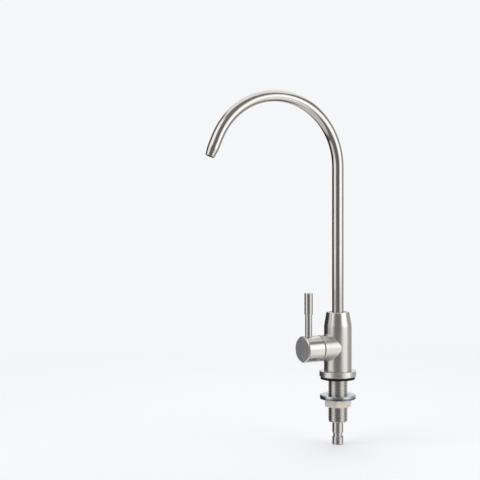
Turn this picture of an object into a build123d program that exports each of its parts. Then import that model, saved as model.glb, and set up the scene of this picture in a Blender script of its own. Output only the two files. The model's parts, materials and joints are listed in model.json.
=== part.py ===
from build123d import *
from math import cos, pi, radians, sin
import os

# A drinking water tap: body, swivel spout, quarter turn side valve, and the fixing under a worktop.
# Millimetres, +Z up. The origin is the middle of the gasket's underside, which sits on the worktop.
# The tap's own axis is Z, and the valve points along -Y with its lever up.

# Clearances and finishing, for every piece
fit_gap = 0.05  # radial play of what turns or slides in a bore
seat_gap = 0.02  # radial play of what is brazed, pressed or squeezed in
axial_gap = 0.1  # endwise play of a ring in its groove
edge_break = 0.3  # small chamfer on a turned edge
overrun = 3.0  # how far a cutter runs past what it cuts

# Gasket and base flange
flange_ledge = 4.0  # how far the flange stands out round the body
flange_t = 4.9
flange_bevel_in = 0.4
flange_bevel_h = 0.4
gasket_inset = 1.0  # the gasket's rim inside the flange's rim
gasket_lip_t = 2.3
gasket_boss_h = 1.0  # the gasket's boss, held in the flange's recess
gasket_boss_inset = 1.9
gasket_round = 0.4

# Threaded shank
shank_d = 16.66  # G3/8 thread
thread_pitch = 1.337
shank_below = 37.0  # below the worktop's face
shank_grip = 5.5  # screwed into the body
shank_chamfer = 0.9

# Inlet stem
stem_d = 9.5
stem_out = 19.8  # below the shank
stem_wall = 2.0
stem_shoulder = 0.25
stem_spigot = 4.5  # above the shank, in the body
stem_chamfer = 0.5
stem_groove_up = 8.0  # the groove's lower edge above the stem's end
stem_groove_w = 2.9
stem_groove_depth = 0.8
inlet_ring_section = 1.2

# Washer and nut under the worktop
worktop_gap = 13.6  # between the gasket and the washer, as it hangs
washer_d = 31.0
washer_t = 3.5
washer_play = 0.4
washer_round = 0.3
nut_h = 6.6
nut_wall = 2.67  # from the thread to the middle of a flat
nut_bore_chamfer = 0.7
nut_turn = 21.0  # degrees, where the nut's corner points

# Body
branch_inset = 0.75  # how much smaller the side branch's radius is than the body's
cone_taper = 2.0  # how much smaller the radius is at the cone's top
cone_h = 11.9
shoulder_round = 8.0  # where the cone meets the cylinder
branch_round = 0.6  # where the side branch meets the body
passage_d = 5.0
passage_wall = 1.2  # between the inlet passage and the valve seat
well_h = 0.7
floor_wall = 2.3  # between the well and the valve chamber
roof_wall = 2.6  # between the valve chamber and the spout's socket
outlet_d = 3.6
outlet_margin = 0.2
plenum_h = 2.5

# Valve: sizes along its axis, from the seat outwards
seat_out = 2.0  # the valve seat's distance from the tap's axis
seal_t = 2.0
disc_t = 3.0
foot_t = 2.0
thrust_t = 0.8
land_l = 2.7
cap_thread_l = 4.8
cap_flange_t = 1.0
cap_hex_t = 2.8
clip_t = 0.8
clip_shoulder = 0.6
spline_l = 7.0
spline_spare = 0.6
knob_web = 4.1
seam = 0.6  # the open joint between the branch and the knob
nose_gap = 0.6

# Valve: sizes across its axis
disc_d = 11.0
seal_bore_d = 6.0
foot_lip = 1.0
nose_wall = 1.15
annulus = 1.0  # water space round the housing's nose
cap_thread_step = 0.3
cap_flange_lip = 1.3
cavity_play = 0.35
knob_wall = 1.6
knob_bevel = 0.8
window_w = 5.0
window_inset = 0.3
disc_middle_r = 1.4  # solid middle of a disc, between its two ports
port_half_angle = 38.0  # degrees, under 45 so that the ports part by a quarter turn
tongue_w = 3.0
tongue_h = 1.2
key_w = 2.4
key_out = 0.9
spline_step = 0.5
spline_tooth_h = 0.45
spline_teeth = 20
tooth_shares = (0.4, 0.58, 0.82)  # of one tooth's step: the root's end, and the crest's start and end
cap_ring_section = 1.5
spindle_ring_section = 1.2
spindle_ring_shares = (0.27, 0.63)  # along the spindle's bore in the housing
clip_lip = 1.3
clip_depth = 0.7
clip_gap_w = 5.0

# Lever and grub screw
lever_setback = 6.5  # the lever's axis behind the knob's face
lever_thin_d = 6.0
lever_thin_l = 18.25
lever_grip_d = 7.2
lever_grip_l = 18.6
lever_seat = 1.25  # how deep the shaft sits in the knob
lever_stud_d = 5.0
lever_stud_l = 4.0
lever_chamfer = 0.35
grub_d = 4.0
grub_l = 5.0
grub_socket_d = 2.2
grub_socket_depth = 2.0

# Spout
tube_d = 10.0
tube_wall = 1.0
riser_free = 125.7  # from the body's top to the start of the bend
bend_r = 60.6
bend_angle = 156.4
tail_l = 17.0  # straight end, with its tip
tip_l = 7.0
tip_d = 7.8
spout_turn = -95.0  # degrees about the tap's axis, swivelled 5 past the valve

# Spout's swivel in the body
ferrule_l = 16.2
ferrule_wall = 2.3
ferrule_step = 2.5  # below the tube's end
rim_drop = 0.3
slip_t = 1.0
swivel_ring_section = 1.5
swivel_ring_shares = (0.27, 0.52)  # places of the two O-rings along the ferrule
retainer_share = 0.78
retainer_t = 1.2
retainer_depth = 1.1  # in the ferrule
retainer_reach = 0.6  # in the body
retainer_gap_w = 5.0

# Whitworth thread form, as shares of the pitch
thread_depth_share = 0.64
thread_crest_share = 0.167
thread_flank_share = 0.333

# Heights, from the worktop up
flange_z = gasket_lip_t
foot_z = flange_z + flange_t
shank_top_z = foot_z + shank_grip
stem_top_z = shank_top_z + stem_spigot
well_z = stem_top_z + well_h
disc_r = disc_d / 2
nose_bore_r = disc_r + fit_gap
nose_r = nose_bore_r + nose_wall
chamber_r = nose_r + annulus
valve_z = well_z + floor_wall + chamber_r
plenum_z = valve_z + chamber_r + roof_wall
socket_z = plenum_z + plenum_h
ferrule_z = socket_z + slip_t
ferrule_top_z = ferrule_z + ferrule_l
body_top_z = ferrule_top_z + rim_drop
cone_z = body_top_z - cone_h
riser_top_z = body_top_z + riser_free

# Heights, from the worktop down
washer_z = -worktop_gap - washer_t
nut_z = washer_z - nut_h
shank_end_z = -shank_below
stem_end_z = shank_end_z - stem_out

# Distances from the tap's axis along the valve
fixed_u = seat_out + seal_t
moving_u = fixed_u + disc_t
foot_u = moving_u + disc_t
thrust_u = foot_u + foot_t
step_u = thrust_u + thrust_t
land_u = thrust_u + thrust_t / 2
cap_thread_u = step_u + land_l
branch_u = cap_thread_u + cap_thread_l
cap_hex_u = branch_u + cap_flange_t
cap_end_u = cap_hex_u + cap_hex_t
clip_u = cap_end_u + axial_gap
spline_u = clip_u + clip_t + clip_shoulder
knob_open_u = branch_u + seam
bore_end_u = spline_u + spline_l + spline_spare
knob_face_u = bore_end_u + knob_web
lever_u = knob_face_u - lever_setback

# Radii
shank_r = shank_d / 2
stem_r = stem_d / 2
stem_inner_r = stem_r - stem_shoulder
stem_bore_r = stem_inner_r - stem_wall
washer_r = washer_d / 2
cap_thread_r = chamber_r + cap_thread_step
cap_flange_r = cap_thread_r + cap_flange_lip
cavity_r = cap_flange_r + cavity_play
knob_r = cavity_r + knob_wall
body_r = knob_r + branch_inset
cone_top_r = body_r - cone_taper
flange_r = body_r + flange_ledge
gasket_r = flange_r - gasket_inset
gasket_boss_r = gasket_r - gasket_boss_inset
spindle_r = disc_r - foot_lip
spindle_bore_r = spindle_r + fit_gap
spline_r = spindle_r - spline_step
clip_in_r = spindle_r - clip_depth
clip_out_r = spindle_r + clip_lip
tube_r = tube_d / 2
tube_bore_r = tube_r - tube_wall
tip_r = tip_d / 2
ferrule_r = tube_r + seat_gap + ferrule_wall
socket_r = ferrule_r + fit_gap
passage_r = passage_d / 2
passage_y = passage_wall + passage_r - seat_out
outlet_r = outlet_d / 2
outlet_u = seat_out + outlet_margin + outlet_r
plenum_r = outlet_u + outlet_r + outlet_margin

# The valve's own frame: its Z is the distance from the tap's axis, and its Y is up
valve_place = Pos(0, 0, valve_z) * Rot(90, 0, 0)
spout_place = Rot(0, 0, spout_turn)


def turned(points, rounds=None):
    # Turns a closed outline of (radius, height) points about Z; rounds gives a corner's number its radius.
    radii = [(rounds or {}).get(corner, 0) for corner in range(len(points))]
    if rounds:
        outline = FilletPolyline(*points, radius=radii, close=True)
    else:
        outline = Polyline(*points, close=True)
    return revolve(Plane.XZ * make_face(outline), Axis.Z)


def rod(radius, low, high):
    # A round bar on Z between two heights, also used as a drill.
    return Pos(0, 0, (low + high) / 2) * Cylinder(radius, high - low)


def tube(outer, inner, low, high):
    return turned([(inner, low), (outer, low), (outer, high), (inner, high)])


def o_ring(reach, section, height):
    # A rubber ring whose outside reaches a bore of the given radius.
    return Pos(0, 0, height) * Torus(reach - seat_gap - section / 2, section / 2)


def ring_groove(reach, section, height, surface):
    # The cutter for the groove of that ring, in a bar of the given surface radius.
    floor = reach - section - 2 * seat_gap
    half = section / 2 + axial_gap
    return tube(surface + overrun, floor, height - half, height + half)


def split_ring(outer, inner, low, high, gap_w):
    # A flat ring, cut open on one side.
    opening = Pos(outer, 0, (low + high) / 2) * Box(2 * outer, gap_w, high - low + overrun)
    return tube(outer, inner, low, high) - opening


def hexagon(circle_r, low, high):
    return Pos(0, 0, low) * extrude(RegularPolygon(circle_r, 6), high - low)


def base_gasket():
    bore = shank_r + fit_gap
    boss_z = gasket_lip_t + gasket_boss_h
    points = [
        (bore, 0), (gasket_r, 0), (gasket_r, gasket_lip_t),
        (gasket_boss_r, gasket_lip_t), (gasket_boss_r, boss_z), (bore, boss_z),
    ]
    return turned(points, {1: gasket_round})


def base_flange():
    bore = shank_r + fit_gap
    recess_r = gasket_boss_r + seat_gap
    recess_z = flange_z + gasket_boss_h
    points = [
        (bore, recess_z), (recess_r, recess_z), (recess_r, flange_z),
        (flange_r - flange_bevel_in, flange_z), (flange_r, flange_z + flange_bevel_h),
        (flange_r, foot_z), (bore, foot_z),
    ]
    return turned(points, {4: edge_break, 5: edge_break})


def thread_outline():
    # The rings of the thread form from the shank's lower end up to its top, as (radius, height) points.
    root_r = shank_r - thread_depth_share * thread_pitch
    crest = thread_crest_share * thread_pitch
    flank = thread_flank_share * thread_pitch
    first_z = shank_end_z + shank_chamfer + crest
    count = int((shank_top_z - shank_chamfer - first_z) / thread_pitch)
    points = []
    for turn in range(count):
        z = first_z + turn * thread_pitch
        points += [(shank_r, z), (root_r, z + flank)]
        points += [(root_r, z + thread_pitch - flank - crest), (shank_r, z + thread_pitch - crest)]
    return points


def threaded_shank():
    bore = stem_inner_r + seat_gap
    points = [(bore, shank_end_z), (shank_r - shank_chamfer, shank_end_z)]
    points += [(shank_r, shank_end_z + shank_chamfer)]
    points += thread_outline()
    points += [(shank_r, shank_top_z - shank_chamfer), (shank_r - shank_chamfer, shank_top_z)]
    points += [(bore, shank_top_z)]
    return turned(points)


def inlet_ring_z():
    return shank_top_z + stem_spigot / 2


def inlet_stem():
    groove_z = stem_end_z + stem_groove_up
    groove_r = stem_r - stem_groove_depth
    points = [
        (stem_bore_r, stem_end_z), (stem_r - stem_chamfer, stem_end_z),
        (stem_r, stem_end_z + stem_chamfer), (stem_r, groove_z),
        (groove_r, groove_z + stem_groove_depth), (groove_r, groove_z + stem_groove_w),
        (stem_r, groove_z + stem_groove_w), (stem_r, shank_end_z),
        (stem_inner_r, shank_end_z), (stem_inner_r, stem_top_z), (stem_bore_r, stem_top_z),
    ]
    spigot_bore_r = stem_inner_r + seat_gap
    groove = ring_groove(spigot_bore_r, inlet_ring_section, inlet_ring_z(), stem_inner_r)
    return turned(points) - groove


def inlet_oring():
    return o_ring(stem_inner_r + seat_gap, inlet_ring_section, inlet_ring_z())


def fixing_washer():
    bore = shank_r + washer_play
    top_z = washer_z + washer_t
    points = [(bore, washer_z), (washer_r, washer_z), (washer_r, top_z), (bore, top_z)]
    return turned(points, {1: washer_round, 2: washer_round})


def hex_nut():
    flat_r = shank_r + nut_wall
    corner_r = flat_r / cos(radians(30))
    fall = (corner_r - flat_r) / 2
    bore = shank_r + fit_gap
    top_z = nut_z + nut_h
    points = [
        (bore, nut_z + nut_bore_chamfer), (bore + nut_bore_chamfer, nut_z), (flat_r, nut_z),
        (corner_r, nut_z + fall), (corner_r, top_z - fall), (flat_r, top_z),
        (bore + nut_bore_chamfer, top_z), (bore, top_z - nut_bore_chamfer),
    ]
    return Rot(0, 0, nut_turn) * (turned(points) & hexagon(corner_r, nut_z, top_z))


def body_blank():
    # The cone-topped cylinder and the side branch, before anything is bored.
    points = [
        (0, foot_z), (body_r - edge_break, foot_z), (body_r, foot_z + edge_break), (body_r, cone_z),
        (cone_top_r, body_top_z - edge_break), (cone_top_r - edge_break, body_top_z), (0, body_top_z),
    ]
    upright = turned(points, {3: shoulder_round})
    branch = turned([
        (0, 0), (knob_r, 0), (knob_r, branch_u - edge_break), (knob_r - edge_break, branch_u), (0, branch_u),
    ])
    blank = upright + valve_place * branch
    meeting = blank.edges().filter_by(GeomType.BSPLINE)
    return fillet(meeting, branch_round)


def body_bores():
    # Everything that is bored out of the body, one cutter after another.
    spigot_r = stem_inner_r + seat_gap
    yield rod(shank_r + fit_gap, foot_z - overrun, shank_top_z)
    yield rod(spigot_r, foot_z, well_z)
    yield Pos(0, passage_y, 0) * rod(passage_r, stem_top_z, valve_z)
    yield valve_place * rod(passage_r, -passage_y, seat_out + overrun)
    yield Pos(0, passage_y, valve_z) * Sphere(passage_r)
    yield valve_place * rod(chamber_r, seat_out, branch_u)
    yield valve_place * rod(cap_thread_r, cap_thread_u, branch_u + overrun)
    yield Pos(0, -outlet_u, 0) * rod(outlet_r, valve_z + nose_r, plenum_z + plenum_h)
    yield rod(plenum_r, plenum_z, socket_z + overrun)
    yield rod(socket_r, socket_z, body_top_z + overrun)
    low = retainer_z() - retainer_t / 2 - axial_gap
    high = retainer_z() + retainer_t / 2 + axial_gap
    yield rod(socket_r + retainer_reach + fit_gap, low, high)


def tap_body():
    body = body_blank()
    for bore in body_bores():
        body -= bore
    return body


def seat_seal():
    return valve_place * tube(disc_r, seal_bore_d / 2, seat_out, fixed_u)


def disc_ports(outer, low, high):
    # Two facing sectors between the disc's middle and a radius, for the water to pass.
    reach = 2 * outer
    half = radians(port_half_angle)
    x = reach * cos(half)
    y = reach * sin(half)
    sector = make_face(Polyline((0, 0), (x, y), (x, -y), close=True))
    wedge = Pos(0, 0, low) * extrude(sector, high - low)
    return tube(outer, disc_middle_r, low, high) & (wedge + Rot(0, 0, 180) * wedge)


def disc_keys(grow, low, high):
    # The two keys that stop the fixed disc from turning in the housing.
    length = 2 * (disc_r + key_out + grow)
    keys = Pos(0, 0, (low + high) / 2) * Box(key_w + 2 * grow, length, high - low)
    return keys - rod(disc_r - foot_lip, low - overrun, high + overrun)


def fixed_disc():
    disc = rod(disc_r, fixed_u, moving_u) + disc_keys(0, fixed_u, moving_u)
    return valve_place * (disc - disc_ports(seal_bore_d / 2, fixed_u - overrun, moving_u + overrun))


def moving_disc():
    # Its open sides stand a quarter turn away from the fixed disc's ports while the valve is shut.
    open_sides = Rot(0, 0, 90) * disc_ports(disc_r + overrun, moving_u - overrun, foot_u + overrun)
    slot_z = foot_u - tongue_h - axial_gap
    slot = Box(2 * disc_r + overrun, tongue_w + 2 * fit_gap, foot_u - slot_z + overrun)
    slot = Pos(0, 0, (slot_z + foot_u + overrun) / 2) * slot
    return valve_place * (rod(disc_r, moving_u, foot_u) - open_sides - slot)


def cap_ring_u():
    return (step_u + cap_thread_u) / 2


def cartridge_housing():
    nose_u = seat_out + nose_gap
    land_r = chamber_r - fit_gap
    thread_r = cap_thread_r - fit_gap
    points = [
        (nose_bore_r, nose_u), (nose_r, nose_u), (nose_r, land_u), (land_r, land_u),
        (land_r, cap_thread_u), (thread_r, cap_thread_u), (thread_r, branch_u),
        (cap_flange_r, branch_u), (cap_flange_r, cap_hex_u), (spindle_bore_r, cap_hex_u),
        (spindle_bore_r, step_u), (nose_bore_r, step_u),
    ]
    housing = turned(points)
    hexagon_end = hexagon(cap_flange_r - edge_break, cap_hex_u, cap_end_u)
    housing += hexagon_end - rod(spindle_bore_r, cap_hex_u - overrun, cap_end_u + overrun)
    housing -= ring_groove(chamber_r, cap_ring_section, cap_ring_u(), land_r)
    window_h = disc_t - 2 * window_inset
    windows = Box(2 * (nose_r + overrun), window_w, window_h) - Box(2 * disc_r, window_w, window_h)
    housing -= Pos(0, 0, moving_u + disc_t / 2) * windows
    housing -= disc_keys(seat_gap, nose_u - overrun, moving_u)
    return valve_place * housing


def cartridge_oring():
    return valve_place * o_ring(chamber_r, cap_ring_section, cap_ring_u())


def thrust_washer():
    return valve_place * tube(disc_r, spindle_bore_r, thrust_u, step_u)


def spindle_ring_places():
    return [step_u + share * (cap_end_u - step_u) for share in spindle_ring_shares]


def spindle_oring(place):
    return valve_place * o_ring(spindle_bore_r, spindle_ring_section, place)


def spline_outline(grow):
    # The toothed section of the spindle, or of the knob's bore when it is grown by the fit's play.
    crest = spline_r + grow
    root = spline_r - spline_tooth_h + grow
    step = 2 * pi / spline_teeth
    root_end, crest_start, crest_end = tooth_shares
    points = []
    for tooth in range(spline_teeth):
        for radius, share in ((root, 0), (root, root_end), (crest, crest_start), (crest, crest_end)):
            angle = (tooth + share) * step
            points.append((radius * cos(angle), radius * sin(angle)))
    return make_face(Polyline(*points, close=True))


def cartridge_spindle():
    neck_r = spline_r - spline_tooth_h
    points = [
        (0, foot_u), (disc_r, foot_u), (disc_r, thrust_u), (spindle_r, thrust_u),
        (spindle_r, clip_u), (clip_in_r - seat_gap, clip_u), (clip_in_r - seat_gap, clip_u + clip_t),
        (spindle_r, clip_u + clip_t), (spindle_r, spline_u - clip_shoulder / 2), (neck_r, spline_u), (0, spline_u),
    ]
    spindle = turned(points)
    for place in spindle_ring_places():
        spindle -= ring_groove(spindle_bore_r, spindle_ring_section, place, spindle_r)
    spindle += Pos(0, 0, spline_u) * extrude(spline_outline(0), spline_l)
    tongue = Box(2 * disc_r, tongue_w, tongue_h) & Cylinder(disc_r, tongue_h)
    return valve_place * (spindle + Pos(0, 0, foot_u - tongue_h / 2) * tongue)


def spindle_clip():
    return valve_place * split_ring(clip_out_r, clip_in_r, clip_u, clip_u + clip_t, clip_gap_w)


def handle_knob():
    points = [
        (cavity_r, knob_open_u), (knob_r - edge_break, knob_open_u), (knob_r, knob_open_u + edge_break),
        (knob_r, knob_face_u - knob_bevel), (knob_r - knob_bevel, knob_face_u), (0, knob_face_u),
        (0, spline_u), (cavity_r, spline_u),
    ]
    knob = turned(points)
    bore = extrude(spline_outline(fit_gap), spline_l + spline_spare + overrun)
    knob -= Pos(0, 0, spline_u - overrun) * bore
    knob = valve_place * knob
    seat_z = knob_r - lever_seat
    across = Pos(0, -lever_u, valve_z)
    knob -= across * rod(lever_thin_d / 2 + seat_gap, seat_z, knob_r + overrun)
    knob -= across * rod(lever_stud_d / 2 + seat_gap, seat_z - lever_stud_l - axial_gap, seat_z + overrun)
    knob -= across * rod(grub_d / 2 + seat_gap, -knob_r - overrun, -spline_r)
    return knob


def handle_lever():
    stud_r = lever_stud_d / 2
    thin_r = lever_thin_d / 2
    grip_r = lever_grip_d / 2
    seat_z = knob_r - lever_seat
    grip_z = knob_r + lever_thin_l
    top_z = grip_z + lever_grip_l
    points = [
        (0, seat_z - lever_stud_l), (stud_r, seat_z - lever_stud_l), (stud_r, seat_z), (thin_r, seat_z),
        (thin_r, grip_z), (grip_r - lever_chamfer / 2, grip_z), (grip_r, grip_z + lever_chamfer / 2),
        (grip_r, top_z - lever_chamfer), (grip_r - lever_chamfer, top_z), (0, top_z),
    ]
    return Pos(0, -lever_u, valve_z) * turned(points)


def handle_grub_screw():
    top = -spline_r - fit_gap
    low = top - grub_l
    screw = rod(grub_d / 2, low, top) - hexagon(grub_socket_d / 2, low - overrun, low + grub_socket_depth)
    return Pos(0, -lever_u, valve_z) * screw


def bent_bar(radius, low):
    # A round bar along the spout's line: riser, bend and straight end, up to the tip.
    riser = rod(radius, low, riser_top_z)
    section = Pos(0, 0, riser_top_z) * Circle(radius)
    bend = revolve(section, Axis((bend_r, 0, riser_top_z), (0, 1, 0)), bend_angle)
    tail = tail_place() * rod(radius, 0, tail_l - tip_l)
    return riser + bend + tail


def tail_place():
    # The frame at the end of the bend, with its Z along the water's way out.
    return Pos(bend_r, 0, riser_top_z) * Rot(0, bend_angle, 0) * Pos(-bend_r, 0, 0)


def spout_tip():
    start = tail_l - tip_l
    points = [(tube_bore_r, start), (tube_r, start), (tip_r, tail_l), (tip_r - tube_wall, tail_l)]
    return tail_place() * turned(points)


def spout_tube():
    low = ferrule_z + ferrule_step
    pipe = bent_bar(tube_r, low) - bent_bar(tube_bore_r, low - overrun)
    return spout_place * (pipe + spout_tip())


def retainer_z():
    return ferrule_z + retainer_share * ferrule_l


def swivel_ring_places():
    return [ferrule_z + share * ferrule_l for share in swivel_ring_shares]


def spout_ferrule():
    tube_z = ferrule_z + ferrule_step
    grip_r = tube_r + seat_gap
    points = [
        (tube_bore_r, ferrule_z), (ferrule_r, ferrule_z), (ferrule_r, ferrule_top_z - edge_break),
        (ferrule_r - edge_break, ferrule_top_z), (grip_r, ferrule_top_z), (grip_r, tube_z), (tube_bore_r, tube_z),
    ]
    ferrule = turned(points)
    for place in swivel_ring_places():
        ferrule -= ring_groove(socket_r, swivel_ring_section, place, ferrule_r)
    low = retainer_z() - retainer_t / 2 - axial_gap / 2
    ferrule -= tube(ferrule_r + overrun, ferrule_r - retainer_depth, low, low + retainer_t + axial_gap)
    return spout_place * ferrule


def swivel_oring(place):
    return spout_place * o_ring(socket_r, swivel_ring_section, place)


def spout_slip_ring():
    return tube(ferrule_r, plenum_r, socket_z, ferrule_z)


def spout_retaining_ring():
    low = retainer_z() - retainer_t / 2
    outer = socket_r + retainer_reach
    inner = ferrule_r - retainer_depth + seat_gap
    return spout_place * split_ring(outer, inner, low, low + retainer_t, retainer_gap_w)


pieces = {
    "tap_body": tap_body(),
    "base_flange": base_flange(),
    "base_gasket": base_gasket(),
    "threaded_shank": threaded_shank(),
    "inlet_stem": inlet_stem(),
    "inlet_oring": inlet_oring(),
    "cartridge_housing": cartridge_housing(),
    "cartridge_oring": cartridge_oring(),
    "seat_seal": seat_seal(),
    "fixed_disc": fixed_disc(),
    "moving_disc": moving_disc(),
    "cartridge_spindle": cartridge_spindle(),
    "thrust_washer": thrust_washer(),
    "spindle_clip": spindle_clip(),
    "handle_knob": handle_knob(),
    "handle_lever": handle_lever(),
    "handle_grub_screw": handle_grub_screw(),
    "spout_tube": spout_tube(),
    "spout_ferrule": spout_ferrule(),
    "spout_slip_ring": spout_slip_ring(),
    "spout_retaining_ring": spout_retaining_ring(),
    "fixing_washer": fixing_washer(),
    "hex_nut": hex_nut(),
}
for name, place in zip(("spindle_inner_oring", "spindle_outer_oring"), spindle_ring_places()):
    pieces[name] = spindle_oring(place)
for name, place in zip(("spout_lower_oring", "spout_upper_oring"), swivel_ring_places()):
    pieces[name] = swivel_oring(place)

os.makedirs("parts", exist_ok=True)
for name, piece in pieces.items():
    export_step(piece, f"parts/{name}.step")
    print(name, "volume", round(piece.volume, 2))
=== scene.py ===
import json
import math

import bmesh
import bpy
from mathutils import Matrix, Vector


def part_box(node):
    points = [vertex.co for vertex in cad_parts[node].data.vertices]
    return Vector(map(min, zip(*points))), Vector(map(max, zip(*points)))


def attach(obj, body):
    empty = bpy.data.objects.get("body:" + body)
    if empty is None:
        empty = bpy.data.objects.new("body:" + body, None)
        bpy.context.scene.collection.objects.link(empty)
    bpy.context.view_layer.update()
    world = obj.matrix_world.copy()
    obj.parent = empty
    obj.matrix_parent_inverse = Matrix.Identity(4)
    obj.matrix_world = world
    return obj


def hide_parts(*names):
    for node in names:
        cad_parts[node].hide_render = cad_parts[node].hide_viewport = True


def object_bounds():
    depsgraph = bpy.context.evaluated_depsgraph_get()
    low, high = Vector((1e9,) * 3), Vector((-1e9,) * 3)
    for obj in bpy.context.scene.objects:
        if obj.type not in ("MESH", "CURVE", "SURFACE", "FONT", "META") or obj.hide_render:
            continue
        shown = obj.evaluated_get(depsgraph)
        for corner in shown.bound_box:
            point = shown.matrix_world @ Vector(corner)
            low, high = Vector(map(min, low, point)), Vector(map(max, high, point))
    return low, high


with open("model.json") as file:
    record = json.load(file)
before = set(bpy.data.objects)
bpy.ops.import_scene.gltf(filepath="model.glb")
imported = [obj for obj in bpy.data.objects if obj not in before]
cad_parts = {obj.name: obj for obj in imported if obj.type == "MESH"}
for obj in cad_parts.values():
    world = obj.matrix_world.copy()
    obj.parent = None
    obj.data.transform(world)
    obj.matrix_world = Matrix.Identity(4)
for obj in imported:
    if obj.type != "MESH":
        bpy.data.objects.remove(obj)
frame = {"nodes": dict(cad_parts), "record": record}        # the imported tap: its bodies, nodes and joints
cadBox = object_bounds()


class Wire:
    # An output socket. Arithmetic on wires and numbers adds Math nodes.
    def __init__(self, board, socket):
        self.board = board
        self.socket = socket

    def __add__(self, other):
        return self.board.math("ADD", self, other)

    def __radd__(self, other):
        return self.board.math("ADD", other, self)

    def __sub__(self, other):
        return self.board.math("SUBTRACT", self, other)

    def __rsub__(self, other):
        return self.board.math("SUBTRACT", other, self)

    def __mul__(self, other):
        return self.board.math("MULTIPLY", self, other)

    def __rmul__(self, other):
        return self.board.math("MULTIPLY", other, self)

    def __truediv__(self, other):
        return self.board.math("DIVIDE", self, other)

    def __rtruediv__(self, other):
        return self.board.math("DIVIDE", other, self)


class Node:
    # A made node; its outputs are wires, by name or by number.
    def __init__(self, board, made):
        self.board = board
        self.made = made

    def __getitem__(self, key):
        return Wire(self.board, pickSocket(self.made.outputs, key))


class Board:
    # A node tree, and the one method that adds nodes to it.
    def __init__(self, tree):
        self.tree = tree
        tree.nodes.clear()

    def node(self, kind, settings=None, sockets=None):
        made = self.tree.nodes.new(kind)
        for name, value in (settings or {}).items():
            if name == "stops":
                fillRamp(made.color_ramp, value)
            else:
                setattr(made, name, value)
        for key, value in (sockets or {}).items():
            if isinstance(value, Wire):
                self.tree.links.new(value.socket, pickSocket(made.inputs, key))
            elif value is not None:
                pickSocket(made.inputs, key).default_value = value
        return Node(self, made)

    def math(self, operation, first, second=None):
        return self.node("ShaderNodeMath", {"operation": operation}, {0: first, 1: second})[0]

    def combine(self, x, y, z):
        return self.node("ShaderNodeCombineXYZ", None, {"X": x, "Y": y, "Z": z})["Vector"]

    def separate(self, vector):
        parts = self.node("ShaderNodeSeparateXYZ", None, {"Vector": vector})
        return parts["X"], parts["Y"], parts["Z"]

    def ramp(self, factor, stops):
        return self.node("ShaderNodeValToRGB", {"stops": stops}, {"Fac": factor})["Color"]

    def noise(self, vector, scale, detail, roughness=0.55):
        values = {"Vector": vector, "Scale": scale, "Detail": detail, "Roughness": roughness}
        return self.node("ShaderNodeTexNoise", None, values)["Fac"]

    def smooth(self, value, low, high):
        # 0 below low, 1 above high, and a soft step between.
        values = {"Value": value, "From Min": low, "From Max": high}
        return self.node("ShaderNodeMapRange", {"interpolation_type": "SMOOTHSTEP"}, values)["Result"]

    def blendColor(self, factor, first, second):
        settings = {"data_type": "RGBA"}
        return self.node("ShaderNodeMix", settings, {"Factor": factor, "A": first, "B": second})["Result"]


def pickSocket(sockets, key):
    if isinstance(key, int):
        return sockets[key]
    return next(socket for socket in sockets if socket.name == key and socket.enabled)


def fillRamp(ramp, stops):
    # The two stops that a new ramp has become the first and the last.
    for number, (place, value) in enumerate(stops):
        inside = 0 < number < len(stops) - 1
        element = ramp.elements.new(place) if inside else ramp.elements[-1 if number else 0]
        element.position = place
        element.color = (*value, 1) if isinstance(value, tuple) else (value, value, value, 1)


# Camera, floor and lights
camera = {
    "imageSide": 480,      # pixels
    "focalLength": 1261,   # in the same pixels
    "sensor": 36,
    "distance": 1.097,
    "azimuth": 58.5,       # degrees, from the valve's side round to the right
    "height": 0.1729,
    "aside": 0.0851,       # how far the tap stands to the right of the picture's middle
    "rise": -0.125,        # the lens shifted down, in picture widths
    "clip": (0.01, 50),
}
around = math.radians(camera["azimuth"])
toCamera = Vector((math.sin(around), -math.cos(around), 0))
toRight = Vector((math.cos(around), math.sin(around), 0))


def makeCamera():
    lens = bpy.data.cameras.new("camera")
    lens.sensor_width = camera["sensor"]
    lens.lens = camera["sensor"] * camera["focalLength"] / camera["imageSide"]
    lens.clip_start, lens.clip_end = camera["clip"]
    lens.shift_y = camera["rise"]
    eye = bpy.data.objects.new("camera", lens)
    eye.location = toCamera * camera["distance"] - toRight * camera["aside"]
    eye.location.z = camera["height"]
    eye.rotation_euler = (math.radians(90), 0, around)
    bpy.context.collection.objects.link(eye)
    bpy.context.scene.camera = eye


makeCamera()
print("camera placed")

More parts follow.
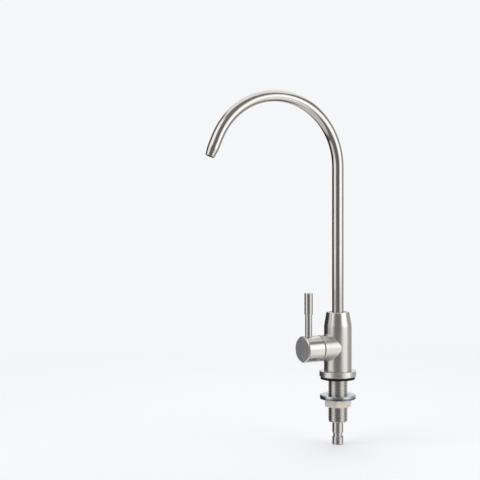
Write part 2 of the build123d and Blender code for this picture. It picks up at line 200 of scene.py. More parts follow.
studio = {
    "paper": (0.915, 0.922, 0.938),   # the pale paper behind the tap and under it
    "paperSpread": (0.97, 0.99),      # how far the paper reaches round behind the tap, as seen in the metal
    "floorColor": (0.90, 0.91, 0.94),
    "floorGlow": 0.285,
    "floorRadius": 6.0,
    "floorSides": 96,
    "fadeStart": 0.30,                # where the floor starts to turn into plain paper, out from the tap
    "fadeEnd": 0.78,
    # the strips of a column of lamps: each one's lower edge and brightness, and the column's top
    "strips": {
        "right": (
            (-0.56, 0.80), (-0.14, 0.75), (0.04, 1.38), (0.12, 1.42), (0.37, 1.05), (0.46, 0.60), (0.53, 0),
        ),
        "left": ((-0.45, 0.88), (0.03, 1.25), (1.50, 0)),
        "leftHigh": ((0.70, 1.15), (1.50, 0)),
    },
    # the columns: from and to, in degrees from the camera round to the right, then the distance, the strips
    # and the share of their brightness
    "columns": (
        (28, 43, 0.62, "right", 0.72), (43, 81, 0.62, "right", 1),
        (-89, -50, 1, "left", 1), (-50, -38, 1, "left", 0.6), (-50, -26, 1, "leftHigh", 0.6),
    ),
    # the lamp overhead: from and to, sideways and towards the camera
    "topHeight": 0.90,
    "topAside": (-0.60, 0.60),
    "topDepth": (-1.30, 0.25),
    "topBrightness": 0.95,
    # the walls: degrees from the camera round to the right, and brightness
    "walls": (
        (-180, 0.92), (-174, 0.50), (-167, 0.03), (-96, 0.03), (-30, 0.18), (0, 0.19),
        (30, 0.20), (84, 0.46), (120, 0.40), (146, 0.46), (166, 0.88), (180, 0.92),
    ),
    # heights are sines of the angle above or below the level
    "ceiling": 0.25,
    "ceilingHeight": (0.30, 0.60),
    "ground": ((-180, 0.78), (-140, 0.78), (98, 0.78), (116, 0.38), (136, 0.12), (172, 0.10), (180, 0.78)),
    "groundDepth": (0.60, 0.72),
}


def makeFloor():
    sides, radius = studio["floorSides"], studio["floorRadius"]
    bpy.ops.mesh.primitive_circle_add(vertices=sides, radius=radius, fill_type="NGON")
    floor = bpy.context.object
    floor.name = "floor"
    floor.location.z = cadBox[0].z
    material = bpy.data.materials.new("paperFloor")
    material.use_nodes = True
    board = Board(material.node_tree)
    x, y, z = board.separate(board.node("ShaderNodeTexCoord")["Object"])
    far = board.smooth(board.math("SQRT", x * x + y * y), studio["fadeStart"], studio["fadeEnd"])
    direct = board.node("ShaderNodeLightPath")["Is Camera Ray"]
    matt = board.node("ShaderNodeBsdfDiffuse", None, {"Color": (*studio["floorColor"], 1)})["BSDF"]
    glow = {"Color": (*studio["paper"], 1), "Strength": direct * studio["floorGlow"]}
    lit = board.node("ShaderNodeEmission", None, glow)["Emission"]
    near = board.node("ShaderNodeAddShader", None, {0: matt, 1: lit})["Shader"]
    paper = board.node("ShaderNodeEmission", None, {"Color": (*studio["paper"], 1)})["Emission"]
    sweep = board.node("ShaderNodeMixShader", None, {0: far * direct, 1: near, 2: paper})["Shader"]
    board.node("ShaderNodeOutputMaterial", None, {"Surface": sweep})
    floor.data.materials.append(material)
    floor.visible_glossy = False      # the metal shows the lamps and walls that reach below the paper
    floor.visible_shadow = False


def makeWorld():
    world = bpy.data.worlds.new("studio")
    world.use_nodes = True
    bpy.context.scene.world = world
    board = Board(world.node_tree)
    x, y, z = board.separate(board.node("ShaderNodeTexCoord")["Generated"])
    facing = x * toCamera.x + y * toCamera.y
    side = x * toRight.x + y * toRight.y
    turn = board.math("ARCTAN2", side, facing) / math.tau + 0.5
    walls = board.ramp(turn, [(degrees / 360 + 0.5, value) for degrees, value in studio["walls"]])
    above = board.smooth(z, *studio["ceilingHeight"])
    below = board.smooth(0 - z, *studio["groundDepth"])
    room = board.blendColor(above, walls, (*[studio["ceiling"]] * 3, 1))
    ground = board.ramp(turn, [(degrees / 360 + 0.5, value) for degrees, value in studio["ground"]])
    room = board.blendColor(below, room, ground)
    path = board.node("ShaderNodeLightPath")
    behind = board.smooth(0 - facing, *studio["paperSpread"])
    mirrored = board.math("MAXIMUM", path["Is Glossy Ray"], path["Is Transmission Ray"]) * behind
    seen = board.math("MAXIMUM", path["Is Camera Ray"], mirrored)
    color = board.blendColor(seen, room, (*studio["paper"], 1))
    sky = board.node("ShaderNodeBackground", None, {"Color": color, "Strength": 1})["Background"]
    board.node("ShaderNodeOutputWorld", None, {"Surface": sky})


def addLamp(name, place, outward, wide, tall, brightness):
    # A flat lamp that faces against the outward direction, as bright as written when it is seen.
    lamp = bpy.data.lights.new(name, "AREA")
    lamp.shape = "RECTANGLE"
    lamp.size = wide
    lamp.size_y = tall
    lamp.energy = brightness * math.pi * wide * tall
    holder = bpy.data.objects.new(name, lamp)
    holder.location = place
    holder.rotation_euler = outward.to_track_quat("Z", "Y").to_euler()
    holder.visible_camera = False
    bpy.context.collection.objects.link(holder)
    return holder


def makeLamps():
    for first, last, distance, strips, share in studio["columns"]:
        turn = math.radians((first + last) / 2)
        outward = toCamera * math.cos(turn) + toRight * math.sin(turn)
        wide = 2 * math.tan(math.radians((last - first) / 2)) * distance
        column = studio["strips"][strips]
        for (low, brightness), (high, _) in zip(column, column[1:]):
            place = outward * distance + Vector((0, 0, (low + high) / 2))
            addLamp(strips, place, outward, wide, high - low, brightness * share)
    left, right = studio["topAside"]
    back, front = studio["topDepth"]
    place = toRight * (left + right) / 2 + toCamera * (back + front) / 2
    place.z = studio["topHeight"]
    top = addLamp("top", place, Vector((0, 0, 1)), right - left, front - back, studio["topBrightness"])
    top.rotation_euler = (0, 0, around)


makeFloor()
makeWorld()
makeLamps()
bpy.context.scene.view_settings.view_transform = "Standard"
print("studio lit")


# Finishes
def startMaterial(name):
    material = bpy.data.materials.new(name)
    material.use_nodes = True
    return material, Board(material.node_tree)


def endMaterial(board, sockets, height, depth):
    # Joins the shader to its output; height runs from 0 to 1 over the given depth in metres.
    relief = {"Height": height, "Distance": depth, "Strength": 1}
    normal = board.node("ShaderNodeBump", None, relief)["Normal"]
    shader = board.node("ShaderNodeBsdfPrincipled", None, {**sockets, "Normal": normal})["BSDF"]
    board.node("ShaderNodeOutputMaterial", None, {"Surface": shader})


steel = {
    "color": (0.66, 0.635, 0.60),
    "lineWidth": 0.0008,        # the broadest lines; finer ones down to a thirtieth of it go with them
    "lineLength": 0.014,
    "lineDetail": (5, 0.7),     # how many finer sizes of lines, and how strong they are
    "toneRange": 0.10,
    "roughRange": 0.07,
    "smudgeSize": 0.014,
    "smudgeDetail": (3, 0.5),
    "smudgeEdges": (0.42, 0.68),
    "smudgeTone": 0.02,
    "smudgeRough": 0.05,
    "scratchSize": 0.003,
    "scratchWidth": 0.012,
    "scratchShine": 0.06,
    "scratchDepth": 0.5,        # as a share of the lines' depth
    "depth": 0.00000008,
}


def turnedLines(board, across, along, width, length):
    # Lines left round a turned piece; across is two coordinates off its axis, along is the third.
    first, second = across
    radius = board.math("SQRT", first * first + second * second)
    place = board.combine(first / length, second / length, (along + radius) / width)
    return board.noise(place, 1, *steel["lineDetail"])


hairline = {
    "detail": (2, 0.4),
    "patches": 1.7,              # how many patches there are to one scratch's length
    "patchEdges": (0.52, 0.62),
}


def hairlines(board, place, size, width):
    # Short thin scratches, where a slow noise crosses its middle, in scattered patches.
    course = board.noise(place, 1 / size, *hairline["detail"])
    line = 1 - board.smooth(board.math("ABSOLUTE", course - 0.5), width / 3, width)
    return line * board.smooth(board.noise(place, hairline["patches"] / size, 1), *hairline["patchEdges"])


def scaled(board, color, factor):
    return board.node("ShaderNodeVectorMath", {"operation": "SCALE"}, {0: color, "Scale": factor})["Vector"]


def brushed(board, place, lines, color, roughness, depth=steel["depth"]):
    # Colour, roughness and bump height of satin steel with the given lines.
    smudge = board.noise(place, 1 / steel["smudgeSize"], *steel["smudgeDetail"])
    smudge = board.smooth(smudge, *steel["smudgeEdges"])
    scratch = hairlines(board, place, steel["scratchSize"], steel["scratchWidth"])
    tone = 1 + (lines - 0.5) * steel["toneRange"] - smudge * steel["smudgeTone"]
    rough = roughness + (lines - 0.5) * steel["roughRange"] + smudge * steel["smudgeRough"]
    rough = rough - scratch * steel["scratchShine"]
    sockets = {"Base Color": scaled(board, color, tone), "Metallic": 1, "Roughness": rough}
    endMaterial(board, sockets, lines - scratch * steel["scratchDepth"], depth)


def objectPlace(board):
    return board.node("ShaderNodeTexCoord")["Object"]


def uprightSteel(name, roughness, centre=(0, 0), color=steel["color"]):
    # Turned about an upright axis.
    material, board = startMaterial(name)
    place = objectPlace(board)
    x, y, z = board.separate(place)
    lines = turnedLines(board, (x - centre[0], y - centre[1]), z, steel["lineWidth"], steel["lineLength"])
    brushed(board, place, lines, color, roughness)
    return material


valveHeight = (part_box("cartridge_housing")[0].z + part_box("cartridge_housing")[1].z) / 2
satin = {
    "radius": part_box("tap_body")[1].x,
    "branchEdge": (0.0001, 0.0004),     # outside the body's radius, where the branch's finish starts
    "color": (0.725, 0.695, 0.66),
    "lineWidth": 0.0005,
    "depth": 0.000008,
    "roughness": 0.30,
    "coneRoughness": 0.25,
    "coneFrom": 0.034,                  # heights between which the cone's finish takes over
    "coneTo": 0.054,
    "knobRoughness": 0.23,
    # painted light: the knob's face is coloured lighter than its side
    "faceColor": (0.90, 0.90, 0.92),
    "faceRoughness": 0.42,
    "faceEdge": (0.0001, 0.0003),       # behind the knob's front, where its face ends
}


def bodySteel():
    # The body is brushed round its own axis, and its side branch round the valve's.
    material, board = startMaterial("bodySteel")
    place = objectPlace(board)
    x, y, z = board.separate(place)
    width, length = satin["lineWidth"], steel["lineLength"]
    upright = turnedLines(board, (x, y), z, width, length)
    sideways = turnedLines(board, (x, z - valveHeight), y, width, length)
    radius = board.math("SQRT", x * x + y * y)
    branch = board.smooth(radius, *(satin["radius"] + edge for edge in satin["branchEdge"]))
    cone = board.smooth(z, satin["coneFrom"], satin["coneTo"])
    roughness = satin["roughness"] + (satin["coneRoughness"] - satin["roughness"]) * cone
    color = board.blendColor(branch, (*satin["color"], 1), (*steel["color"], 1))
    brushed(board, place, upright + (sideways - upright) * branch, color, roughness, satin["depth"])
    return material


def knobSteel():
    # The knob's side is brushed round the valve's axis, and its face has fine rings, is duller, and carries
    # painted light: a lighter colour than the side.
    material, board = startMaterial("knobSteel")
    place = objectPlace(board)
    x, y, z = board.separate(place)
    lines = turnedLines(board, (x, z - valveHeight), y, satin["lineWidth"], steel["lineLength"])
    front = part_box("handle_knob")[0].y
    face = 1 - board.smooth(y, *(front + edge for edge in satin["faceEdge"]))
    roughness = satin["knobRoughness"] + face * (satin["faceRoughness"] - satin["knobRoughness"])
    # painted light on the face: a lighter colour than the knob's side
    color = board.blendColor(face, (*steel["color"], 1), (*satin["faceColor"], 1))
    brushed(board, place, lines, color, roughness, satin["depth"])
    return material


tube = {
    "color": (0.61, 0.585, 0.555),
    "roughness": 0.15,
    "lineWidth": 0.0005,
    "lineLength": 0.03,
    "lineDetail": (4, 0.6),
}


def tubeSteel():
    # Polished lengthwise: the lines follow the bent tube, by the place each point had when it was straight.
    material, board = startMaterial("tubeSteel")
    x, y, z = board.separate(board.node("ShaderNodeAttribute", {"attribute_name": "straight"})["Vector"])
    width = tube["lineWidth"]
    place = board.combine(x / width, y / width, z / tube["lineLength"])
    lines = board.noise(place, 1, *tube["lineDetail"])
    brushed(board, board.combine(x, y, z), lines, tube["color"], tube["roughness"])
    return material


zinc = {
    "color": (0.68, 0.72, 0.76),
    "dark": (0.53, 0.56, 0.60),
    "rim": (0.24, 0.26, 0.29),      # painted shade on the lower part of the outer edge, where the washer sits on the nut
    "rimDepth": 0.0003,
    "rimTop": 0.0013,               # how far under the upper face it starts
    "rimBottom": 0.0021,
    "blotch": 0.0035,
    "blotchDetail": (5, 0.6),
    "blotchEdges": (0.35, 0.65),
    "blotchRough": 0.3,
    "pitSize": 0.0002,
    "pitEdges": (0.62, 0.75),
    "pitRough": 0.1,
    "pitDepth": 0.5,                # as a share of the whole depth
    "roughness": 0.28,
    "depth": 0.000002,
}


def zincPlate():
    # Electroplated steel: cloudy, bluish, with a stamped sheet's fine pits, and painted shade along the
    # lower part of its outer edge.
    material, board = startMaterial("zincPlate")
    place = objectPlace(board)
    cloud = board.noise(place, 1 / zinc["blotch"], *zinc["blotchDetail"])
    pits = board.smooth(board.noise(place, 1 / zinc["pitSize"], 2), *zinc["pitEdges"])
    blotch = board.smooth(cloud, *zinc["blotchEdges"])
    color = board.blendColor(blotch, (*zinc["dark"], 1), (*zinc["color"], 1))
    x, y, z = board.separate(place)
    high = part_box("fixing_washer")[1]
    radius = board.math("SQRT", x * x + y * y)
    # painted shade: the lower part of the outer edge is darkened, above the nut
    below = 1 - board.smooth(z, high.z - zinc["rimBottom"], high.z - zinc["rimTop"])
    rim = board.smooth(radius, high.x - zinc["rimDepth"], high.x) * below
    color = board.blendColor(rim, color, (*zinc["rim"], 1))
    rough = zinc["roughness"] + (cloud - 0.5) * zinc["blotchRough"] + pits * zinc["pitRough"]
    sockets = {"Base Color": color, "Metallic": 1, "Roughness": rough}
    endMaterial(board, sockets, cloud - pits * zinc["pitDepth"], zinc["depth"])
    return material


nutFinish = {
    "color": (0.90, 0.835, 0.775),
    "roughness": 0.70,
    "tone": 0.86,                   # the darkest, before what follows is added
    "lineWidth": 0.0012,
    "lineTone": 0.16,
    "grain": 0.00045,
    "grainDetail": (4, 0.6),
    "grainTone": 0.10,
    "grainRough": 0.15,
    "cloud": 1 / 260,
    "cloudEdges": (0.4, 0.65),
    "cloudTone": 0.05,
    "scratchSize": 0.002,
    "scratchWidth": 0.02,
    "scratchShine": 0.12,
    "scratchDepth": 0.3,
    "depth": 0.000004,
}


def nutSteel():
    # Matte steel, with a fine hammered grain, faint machined lines round it and a few scratches.
    material, board = startMaterial("nutSteel")
    place = objectPlace(board)
    grain = board.noise(place, 1 / nutFinish["grain"], *nutFinish["grainDetail"])
    cloud = board.smooth(board.noise(place, 1 / nutFinish["cloud"], 3), *nutFinish["cloudEdges"])
    scratch = hairlines(board, place, nutFinish["scratchSize"], nutFinish["scratchWidth"])
    x, y, z = board.separate(place)
    lines = turnedLines(board, (x, y), z, nutFinish["lineWidth"], steel["lineLength"])
    tone = nutFinish["tone"] + grain * nutFinish["grainTone"] + cloud * nutFinish["cloudTone"]
    color = scaled(board, nutFinish["color"], tone + lines * nutFinish["lineTone"])
    rough = nutFinish["roughness"] + (grain - 0.5) * nutFinish["grainRough"]
    rough = rough - scratch * nutFinish["scratchShine"]
    sockets = {"Base Color": color, "Metallic": 1, "Roughness": rough}
    endMaterial(board, sockets, grain - scratch * nutFinish["scratchDepth"], nutFinish["depth"])
    return material


plainMetals = {
    "screwSteel": {"color": (0.16, 0.16, 0.165), "roughness": 0.35, "grain": 0.0004, "depth": 0.000003},
    "springSteel": {"color": (0.36, 0.36, 0.37), "roughness": 0.3, "grain": 0.0005, "depth": 0.000002},
    "brass": {"color": (0.76, 0.58, 0.30), "roughness": 0.26, "grain": 0.0005, "depth": 0.000002},
}
patina = {
    "size": 1 / 300,
    "edges": (0.4, 0.7),
    "tone": 0.06,
    "rough": 0.05,
    "grainDetail": (4, 0.6),
    "grainTone": 0.12,
    "grainRough": 0.15,
    "darkest": 0.9,
}


def plainMetal(name):
    # An even metal with a fine grain and a cloudy patina.
    finish = plainMetals[name]
    material, board = startMaterial(name)
    place = objectPlace(board)
    noise = board.noise(place, 1 / finish["grain"], *patina["grainDetail"])
    cloud = board.smooth(board.noise(place, 1 / patina["size"], 3), *patina["edges"])
    tone = patina["darkest"] + noise * patina["grainTone"] + cloud * patina["tone"]
    rough = finish["roughness"] + (noise - 0.5) * patina["grainRough"] + cloud * patina["rough"]
    sockets = {"Base Color": scaled(board, finish["color"], tone), "Metallic": 1, "Roughness": rough}
    endMaterial(board, sockets, noise, finish["depth"])
    return material


paleFinishes = {
    "ceramic": {"color": (0.84, 0.83, 0.80), "roughness": 0.25, "grain": 0.0006},
    "plastic": {"color": (0.82, 0.82, 0.80), "roughness": 0.45, "grain": 0.0008},
}
paleCloud = {"size": 1 / 350, "darkest": 0.96, "tone": 0.08, "grainRough": 0.12, "depth": 0.000002}


def pale(name):
    # Ceramic or plastic: a plain body colour with a faint cloud and grain.
    finish = paleFinishes[name]
    material, board = startMaterial(name)
    place = objectPlace(board)
    cloud = board.noise(place, 1 / paleCloud["size"], 3)
    fine = board.noise(place, 1 / finish["grain"], 3)
    tint = scaled(board, finish["color"], paleCloud["darkest"] + cloud * paleCloud["tone"])
    rough = finish["roughness"] + (fine - 0.5) * paleCloud["grainRough"]
    endMaterial(board, {"Base Color": tint, "Roughness": rough}, fine, paleCloud["depth"])
    return material


rubber = {
    "color": (0.010, 0.010, 0.011),
    "dust": (0.020, 0.019, 0.019),
    "dustSize": 1 / 240,
    "dustEdges": (0.5, 0.75),
    "dustRough": 0.2,
    "grain": 1 / 6000,
    "grainRough": 0.1,
    "shine": 0.25,
    "roughness": 0.5,
    "depth": 0.000008,
}


def blackRubber():
    # Moulded rubber: fine grain, with a little dust in patches.
    material, board = startMaterial("blackRubber")
    place = objectPlace(board)
    grain = board.noise(place, 1 / rubber["grain"], 2)
    dust = board.smooth(board.noise(place, 1 / rubber["dustSize"], 4), *rubber["dustEdges"])
    color = board.blendColor(dust, (*rubber["color"], 1), (*rubber["dust"], 1))
    rough = rubber["roughness"] + dust * rubber["dustRough"] + (grain - 0.5) * rubber["grainRough"]
    sockets = {"Base Color": color, "Roughness": rough, "Specular IOR Level": rubber["shine"]}
    endMaterial(board, sockets, grain, rubber["depth"])
    return material


turned = {
    "flangeColor": (0.84, 0.81, 0.77),
    "flangeRoughness": 0.32,
    "leverRoughness": 0.18,
    "stemRoughness": 0.26,
}
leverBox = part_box("handle_lever")
leverAxis = ((leverBox[0].x + leverBox[1].x) / 2, (leverBox[0].y + leverBox[1].y) / 2)
finishes = {
    "body_steel": uprightSteel("flangeSteel", turned["flangeRoughness"], color=turned["flangeColor"]),
    "tube_steel": tubeSteel(),
    "lever_steel": uprightSteel("leverSteel", turned["leverRoughness"], leverAxis),
    "turned_steel": uprightSteel("turnedSteel", turned["stemRoughness"]),
    "nut_steel": nutSteel(),
    "zinc_plate": zincPlate(),
    "screw_steel": plainMetal("screwSteel"),
    "spring_steel": plainMetal("springSteel"),
    "brass": plainMetal("brass"),
    "white_ceramic": pale("ceramic"),
    "white_plastic": pale("plastic"),
    "black_rubber": blackRubber(),
}
ownFinishes = {"tap_body": bodySteel(), "handle_knob": knobSteel()}
for part in frame["record"]["subparts"]:
    node = frame["nodes"][part["node"]]
    for slot in node.material_slots:
        slot.material = ownFinishes.get(part["node"], finishes[part["material_slot"]])
print("finishes laid on")


# Shapes
joinWithin = 0.0000001    # points of a turned piece nearer than this are one point


def roundCorners(points, radius, special=None, steps=6):
    # Gives the corners of a closed outline arcs; special holds the corners with a radius of their own.
    outline = []
    for number, point in enumerate(points):
        corner = Vector(point)
        bend = (special or {}).get(number, radius)
        if corner.x == 0 or bend == 0:
            outline.append(corner)
            continue
        back = (Vector(points[number - 1]) - corner).normalized()
        ahead = (Vector(points[(number + 1) % len(points)]) - corner).normalized()
        half = back.angle(ahead) / 2
        middle = corner + (back + ahead).normalized() * bend / math.sin(half)
        first = corner + back * bend / math.tan(half) - middle
        last = corner + ahead * bend / math.tan(half) - middle
        for step in range(steps + 1):
            outline.append(middle + first.lerp(last, step / steps).normalized() * bend)
    return outline


def divide(outline, longest):
    # Adds points to the long runs of a closed outline.
    divided = []
    for number, point in enumerate(outline):
        following = outline[(number + 1) % len(outline)]
        count = max(1, math.ceil((following - point).length / longest))
        divided += [point.lerp(following, step / count) for step in range(count)]
    return divided


def lathe(name, outline, steps, centre=(0, 0)):
    # Turns a closed outline of (radius, height) points about an upright axis.
    shape = bmesh.new()
    rings = []
    for radius, height in outline:
        ring = []
        for step in range(steps):
            turn = math.tau * step / steps
            place = (centre[0] + radius * math.cos(turn), centre[1] + radius * math.sin(turn), height)
            ring.append(shape.verts.new(place))
        rings.append(ring)
    for number, lower in enumerate(rings):
        upper = rings[(number + 1) % len(rings)]
        if outline[number][0] == 0 and outline[(number + 1) % len(rings)][0] == 0:
            continue
        for step in range(steps):
            following = (step + 1) % steps
            shape.faces.new((lower[step], lower[following], upper[following], upper[step]))
    bmesh.ops.remove_doubles(shape, verts=shape.verts, dist=joinWithin)
    mesh = bpy.data.meshes.new(name)
    shape.to_mesh(mesh)
    shape.free()
    return mesh


def finishShape(name, mesh, sharp=40):
    # An object for a mesh: smooth faces, sharp edges past the angle, and normals that favour flat faces.
    mesh.shade_smooth()
    mesh.set_sharp_from_angle(angle=math.radians(sharp))
    piece = bpy.data.objects.new(name, mesh)
    bpy.context.collection.objects.link(piece)
    weigh = piece.modifiers.new("normals", "WEIGHTED_NORMAL")
    weigh.keep_sharp = True
    return piece


def dress(piece, node, material):
    # The piece stands for the node, on the node's body and with its slot.
    record = frame["record"]
    body = next(name for name, nodes in record["behaviour"]["bodies"].items() if node in nodes)
    piece.data.materials.clear()
    piece.data.materials.append(material)
    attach(piece, body)
    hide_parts(node)
    print(piece.name, "made")


def newTree(name, inputs):
    # An empty geometry node tree with named inputs.
    tree = bpy.data.node_groups.new(name, "GeometryNodeTree")
    tree.interface.new_socket("Geometry", in_out="INPUT", socket_type="NodeSocketGeometry")
    tree.interface.new_socket("Geometry", in_out="OUTPUT", socket_type="NodeSocketGeometry")
    for label, kind in inputs:
        tree.interface.new_socket(label, in_out="INPUT", socket_type=kind)
    return tree


def endTree(board, geometry, finish):
    whole = board.node("GeometryNodeRealizeInstances", None, {"Geometry": geometry})["Geometry"]
    coat = {"Geometry": whole, "Material": finish}
    painted = board.node("GeometryNodeSetMaterial", None, coat)["Geometry"]
    board.node("NodeGroupOutput", None, {"Geometry": painted})


def runTree(tree, mesh, values):
    # The plain mesh that a tree makes of a starting mesh.
    worker = bpy.data.objects.new("worker", mesh)
    bpy.context.collection.objects.link(worker)
    modifier = worker.modifiers.new("shape", "NODES")
    modifier.node_group = tree
    for item in tree.interface.items_tree:
        if item.in_out == "INPUT" and item.name in values:
            modifier[item.identifier] = values[item.name]
    graph = bpy.context.evaluated_depsgraph_get()
    shaped = worker.evaluated_get(graph)
    made = bpy.data.meshes.new_from_object(shaped, preserve_all_data_layers=True, depsgraph=graph)
    bpy.data.objects.remove(worker)
    return made


# Threaded shank
thread = {
    "pitch": 0.001337,
    "depth": 0.000856,
    "spread": 0.4,        # 1 gives a wave, and less gives flatter crests and steeper flanks
    "chamfer": 0.0009,
    "bore": 0.00452,
    "rowsPerTurn": 14,
    "stepsRound": 72,
    "seam": 0.000001,     # points nearer than this are joined
    "sharpFrom": 50,      # degrees between two faces, past which their edge stays sharp
    "roughness": 0.25,
}


def makeThreadTree():
    number = "NodeSocketFloat"
    labels = ("Radius", "Bore", "Pitch", "Depth", "Spread", "Chamfer", "Low", "High", "Rows Per Turn")
    counts = (("Columns", "NodeSocketInt"), ("Rows", "NodeSocketInt"), ("Finish", "NodeSocketMaterial"))
    tree = newTree("threadMaker", [(label, number) for label in labels] + list(counts))
    board = Board(tree)
    given = board.node("NodeGroupInput")
    pitch, low, high = given["Pitch"], given["Low"], given["High"]
    size = {"Size X": 1, "Size Y": 1, "Vertices X": given["Columns"], "Vertices Y": given["Rows"]}
    grid = board.node("GeometryNodeMeshGrid", None, size)["Mesh"]
    x, y, z = board.separate(board.node("GeometryNodeInputPosition")["Position"])
    turn = x + 0.5
    row = (y + 0.5) * (given["Rows"] - 1)
    # the first row and the last three lie in the bore, and the others climb the thread
    climb = ((row - 1) / given["Rows Per Turn"] - 1 + turn) * pitch + low
    height = board.math("MINIMUM", board.math("MAXIMUM", climb, low), high)
    wave = board.math("COSINE", (height / pitch - turn) * math.tau)
    spread = given["Spread"]
    radius = given["Radius"] - given["Depth"] * (1 - board.smooth(wave, 0 - spread, spread))
    edge = board.math("MINIMUM", height - low, high - height) + given["Radius"] - given["Chamfer"]
    radius = board.math("MINIMUM", radius, edge)
    first, last = board.math("LESS_THAN", row, 0.5), board.math("GREATER_THAN", row, given["Rows"] - 3.5)
    inside = board.math("MAXIMUM", first, last)
    top = board.math("LESS_THAN", board.math("ABSOLUTE", row - (given["Rows"] - 2)), 0.5)
    radius = radius + (given["Bore"] - radius) * inside
    height = height + (low + (high - low) * top - height) * inside
    angle = turn * math.tau
    place = board.combine(board.math("COSINE", angle) * radius, board.math("SINE", angle) * radius, height)
    placed = board.node("GeometryNodeSetPosition", None, {"Geometry": grid, "Position": place})["Geometry"]
    seam = {"Geometry": placed, "Distance": thread["seam"]}
    merged = board.node("GeometryNodeMergeByDistance", None, seam)["Geometry"]
    endTree(board, merged, given["Finish"])
    return tree


def makeShank():
    low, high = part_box("threaded_shank")
    turns = (high.z - low.z) / thread["pitch"] + 1
    material = uprightSteel("threadSteel", thread["roughness"])
    values = {
        "Radius": high.x, "Bore": thread["bore"], "Pitch": thread["pitch"], "Depth": thread["depth"],
        "Spread": thread["spread"], "Chamfer": thread["chamfer"], "Low": low.z, "High": high.z,
        "Rows Per Turn": float(thread["rowsPerTurn"]), "Columns": thread["stepsRound"] + 1,
        "Rows": math.ceil(turns * thread["rowsPerTurn"]) + 4, "Finish": material,
    }
    mesh = runTree(makeThreadTree(), bpy.data.meshes.new("shank"), values)
    dress(finishShape("shank", mesh, thread["sharpFrom"]), "threaded_shank", material)


# Spout
spout = {
    "bendRadius": 0.0606,
    "bendAngle": 156.4,
    "turn": -95,
    "tail": 0.017,
    "tip": 0.007,
    "tipRadius": 0.0039,
    "radius": 0.005,
    "wall": 0.001,
    "tipSoftness": 0.020,   # radius of the curve where the tip starts to draw in
    "lipRound": 0.00025,
    "longestRun": 0.0022,
    "stepsRound": 72,
}


def makeBendTree():
    labels = ("Riser Top", "Bend Radius", "Bend Angle", "Turn")
    sizes = [(label, "NodeSocketFloat") for label in labels]
    tree = newTree("spoutBender", sizes + [("Finish", "NodeSocketMaterial")])
    board = Board(tree)
    given = board.node("NodeGroupInput")
    top, bend = given["Riser Top"], given["Bend Radius"]
    straight = board.node("GeometryNodeInputPosition")["Position"]
    kept = {"Geometry": given["Geometry"], "Name": "straight", "Value": straight}
    stored = board.node("GeometryNodeStoreNamedAttribute", {"data_type": "FLOAT_VECTOR"}, kept)["Geometry"]
    x, y, z = board.separate(straight)
    angle = board.math("MINIMUM", board.math("MAXIMUM", (z - top) / bend, 0), given["Bend Angle"])
    tail = board.math("MAXIMUM", z - top - bend * given["Bend Angle"], 0)
    sine, cosine = board.math("SINE", angle), board.math("COSINE", angle)
    outward = bend * (1 - cosine) + sine * tail + x * cosine
    upward = board.math("MINIMUM", z, top) + bend * sine + cosine * tail - x * sine
    turnSine, turnCosine = board.math("SINE", given["Turn"]), board.math("COSINE", given["Turn"])
    ahead, across = outward * turnCosine - y * turnSine, outward * turnSine + y * turnCosine
    place = board.combine(ahead, across, upward)
    moved = {"Geometry": stored, "Position": place}
    placed = board.node("GeometryNodeSetPosition", None, moved)["Geometry"]
    endTree(board, placed, given["Finish"])
    return tree


def makeSpout():
    low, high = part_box("spout_tube")
    radius, bore, tip = spout["radius"], spout["radius"] - spout["wall"], spout["tipRadius"]
    riserTop = high.z - spout["bendRadius"] - radius
    angle = math.radians(spout["bendAngle"])
    end = riserTop + spout["bendRadius"] * angle + spout["tail"]
    start = end - spout["tip"]
    points = [
        (bore, low.z), (radius, low.z), (radius, start), (tip, end),
        (tip - spout["wall"], end), (bore, start),
    ]
    lip, soft = spout["lipRound"], spout["tipSoftness"]
    outline = roundCorners(points, 0, {1: lip, 2: soft, 3: lip, 4: lip, 5: soft})
    straight = lathe("spout", divide(outline, spout["longestRun"]), spout["stepsRound"])
    material = finishes["tube_steel"]
    values = {
        "Riser Top": riserTop, "Bend Radius": spout["bendRadius"], "Bend Angle": angle,
        "Turn": math.radians(spout["turn"]), "Finish": material,
    }
    dress(finishShape("spout", runTree(makeBendTree(), straight, values)), "spout_tube", material)


# Base flange and gasket
base = {
    "bevelIn": 0.0004,
    "bevelHeight": 0.0004,
    "edge": 0.00015,
    "lipThickness": 0.0023,
    "lipRound": 0.0003,
    "lipTopRound": 0.0002,
    "rubberRound": 0.0001,
    "bossRadius": 0.0131,
    "bossPlay": 0.00002,
    "boreGap": 0.00005,
    "stepsRound": 192,
}


def makeFlange():
    low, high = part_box("base_flange")
    rim, bore = high.x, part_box("threaded_shank")[1].x + base["boreGap"]
    boss = base["bossRadius"] + base["bossPlay"]
    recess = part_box("base_gasket")[1].z
    points = [
        (bore, recess), (boss, recess), (boss, low.z), (rim - base["bevelIn"], low.z),
        (rim, low.z + base["bevelHeight"]), (rim, high.z), (bore, high.z),
    ]
    outline = roundCorners(points, 0, {3: base["edge"], 4: base["edge"], 5: base["edge"]})
    mesh = lathe("flange", outline, base["stepsRound"])
    dress(finishShape("flange", mesh), "base_flange", finishes["body_steel"])


def makeGasket():
    low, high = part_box("base_gasket")
    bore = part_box("threaded_shank")[1].x + base["boreGap"]
    lip, boss = low.z + base["lipThickness"], base["bossRadius"]
    points = [(bore, low.z), (high.x, low.z), (high.x, lip), (boss, lip), (boss, high.z), (bore, high.z)]
    outline = roundCorners(points, base["rubberRound"], {1: base["lipRound"], 2: base["lipTopRound"]})
    mesh = lathe("gasket", outline, base["stepsRound"])
    dress(finishShape("gasket", mesh), "base_gasket", finishes["black_rubber"])


# Washer and nut
fixing = {
    "washerPlay": 0.0004,
    "washerRound": 0.0003,
    "washerBurr": 0.0001,
    "acrossFlats": 0.022,
    "nutTurn": 21.0,
    "nutBevel": 0.00012,
    "nutBevelSteps": 2,
    "nutBevelFrom": 22,       # degrees between two faces, past which their edge is broken
    "nutBoreChamfer": 0.0007,
    "nutStepsRound": 180,
    "washerStepsRound": 192,
    "boreGap": 0.00005,
    "cutterSpare": 0.001,
}


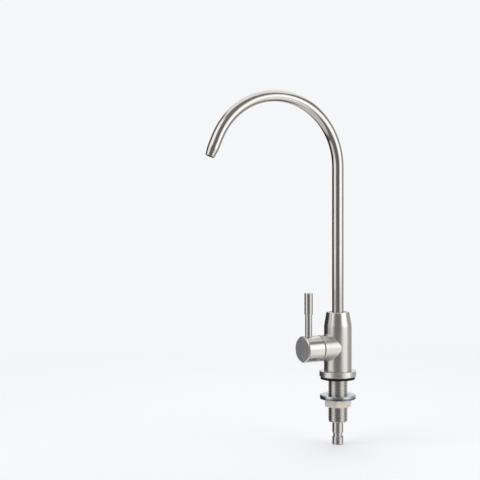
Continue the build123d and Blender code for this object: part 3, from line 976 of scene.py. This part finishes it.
def makeWasher():
    low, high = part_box("fixing_washer")
    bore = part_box("threaded_shank")[1].x + fixing["washerPlay"]
    points = [(bore, low.z), (high.x, low.z), (high.x, high.z), (bore, high.z)]
    rounds = {1: fixing["washerRound"], 2: fixing["washerRound"]}
    outline = roundCorners(points, fixing["washerBurr"], rounds)
    mesh = lathe("washer", outline, fixing["washerStepsRound"])
    dress(finishShape("washer", mesh), "fixing_washer", finishes["zinc_plate"])


def hexagonPrism(radius, low, high, turn):
    shape = bmesh.new()
    rings = []
    angles = [turn + side * math.pi / 3 for side in range(6)]
    for height in (low, high):
        places = [(radius * math.cos(angle), radius * math.sin(angle), height) for angle in angles]
        rings.append([shape.verts.new(place) for place in places])
    for side in range(6):
        following = (side + 1) % 6
        shape.faces.new((rings[0][side], rings[0][following], rings[1][following], rings[1][side]))
    shape.faces.new(rings[1])
    shape.faces.new(list(reversed(rings[0])))
    mesh = bpy.data.meshes.new("hexagon")
    shape.to_mesh(mesh)
    shape.free()
    return mesh


def makeNut():
    low, high = (corner.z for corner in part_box("hex_nut"))
    flat = fixing["acrossFlats"] / 2
    corner = flat / math.cos(math.pi / 6)
    fall = (corner - flat) / 2
    bore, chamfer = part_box("threaded_shank")[1].x + fixing["boreGap"], fixing["nutBoreChamfer"]
    outline = [
        (bore, low + chamfer), (bore + chamfer, low), (flat, low), (corner, low + fall),
        (corner, high - fall), (flat, high), (bore + chamfer, high), (bore, high - chamfer),
    ]
    blank = bpy.data.objects.new("nut", lathe("nut", outline, fixing["nutStepsRound"]))
    bpy.context.collection.objects.link(blank)
    spare = fixing["cutterSpare"]
    prism = hexagonPrism(corner, low - spare, high + spare, math.radians(fixing["nutTurn"]))
    cutter = bpy.data.objects.new("cutter", prism)
    bpy.context.collection.objects.link(cutter)
    cut = blank.modifiers.new("flats", "BOOLEAN")
    cut.operation = "INTERSECT"
    cut.object = cutter
    bevel = blank.modifiers.new("edges", "BEVEL")
    bevel.width = fixing["nutBevel"]
    bevel.segments = fixing["nutBevelSteps"]
    bevel.angle_limit = math.radians(fixing["nutBevelFrom"])
    graph = bpy.context.evaluated_depsgraph_get()
    mesh = bpy.data.meshes.new_from_object(blank.evaluated_get(graph), depsgraph=graph)
    bpy.data.objects.remove(cutter)
    bpy.data.objects.remove(blank)
    dress(finishShape("nut", mesh), "hex_nut", finishes["nut_steel"])


# Inlet stem
stem = {
    "bore": 0.0025,
    "chamfer": 0.0005,
    "neckStep": 0.00025,       # how much thinner the stem is inside the shank
    "grooveUp": 0.0067,
    "grooveWidth": 0.0038,
    "grooveDepth": 0.0008,
    "edge": 0.00015,
    "ringDepth": 0.0012,
    "ringWidth": 0.0014,
    "ringDown": 0.00225,       # from the stem's top to the middle of its O-ring's groove
    "stepsRound": 128,
}


def makeStem():
    low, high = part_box("inlet_stem")
    radius, neck, foot = high.x, high.x - stem["neckStep"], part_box("threaded_shank")[0].z
    bore, chamfer = stem["bore"], stem["chamfer"]
    groove, waist = low.z + stem["grooveUp"], radius - stem["grooveDepth"]
    grooveTop = groove + stem["grooveWidth"]
    middle, half = high.z - stem["ringDown"], stem["ringWidth"] / 2
    seat = neck - stem["ringDepth"]
    points = [
        (bore, low.z), (radius - chamfer, low.z), (radius, low.z + chamfer),
        (radius, groove), (waist, groove + stem["grooveDepth"]), (waist, grooveTop), (radius, grooveTop),
        (radius, foot), (neck, foot), (neck, middle - half), (seat, middle - half), (seat, middle + half),
        (neck, middle + half), (neck, high.z), (bore, high.z),
    ]
    outline = roundCorners(points, 0, {corner: stem["edge"] for corner in range(7)})
    mesh = lathe("stem", outline, stem["stepsRound"])
    dress(finishShape("stem", mesh), "inlet_stem", finishes["turned_steel"])


# Lever
lever = {
    "studRadius": 0.0025,
    "studLength": 0.0040,
    "thinRadius": 0.0030,
    "gripLength": 0.0186,
    "gripStep": 0.0003,
    "endRound": 0.00045,
    "studRound": 0.0002,
    "neckRound": 0.0001,
    "stepsRound": 96,
}


def makeLever():
    low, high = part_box("handle_lever")
    grip = (high.x - low.x) / 2
    seat, start = low.z + lever["studLength"], high.z - lever["gripLength"]
    thin, stud = lever["thinRadius"], lever["studRadius"]
    points = [
        (0, low.z), (stud, low.z), (stud, seat), (thin, seat), (thin, start), (grip, start),
        (grip, high.z), (0, high.z),
    ]
    rounds = {1: lever["studRound"], 4: lever["neckRound"], 5: lever["gripStep"], 6: lever["endRound"]}
    mesh = lathe("lever", roundCorners(points, 0, rounds), lever["stepsRound"], leverAxis)
    dress(finishShape("lever", mesh), "handle_lever", finishes["lever_steel"])


makeShank()
makeSpout()
makeFlange()
makeGasket()
makeWasher()
makeNut()
makeStem()
makeLever()
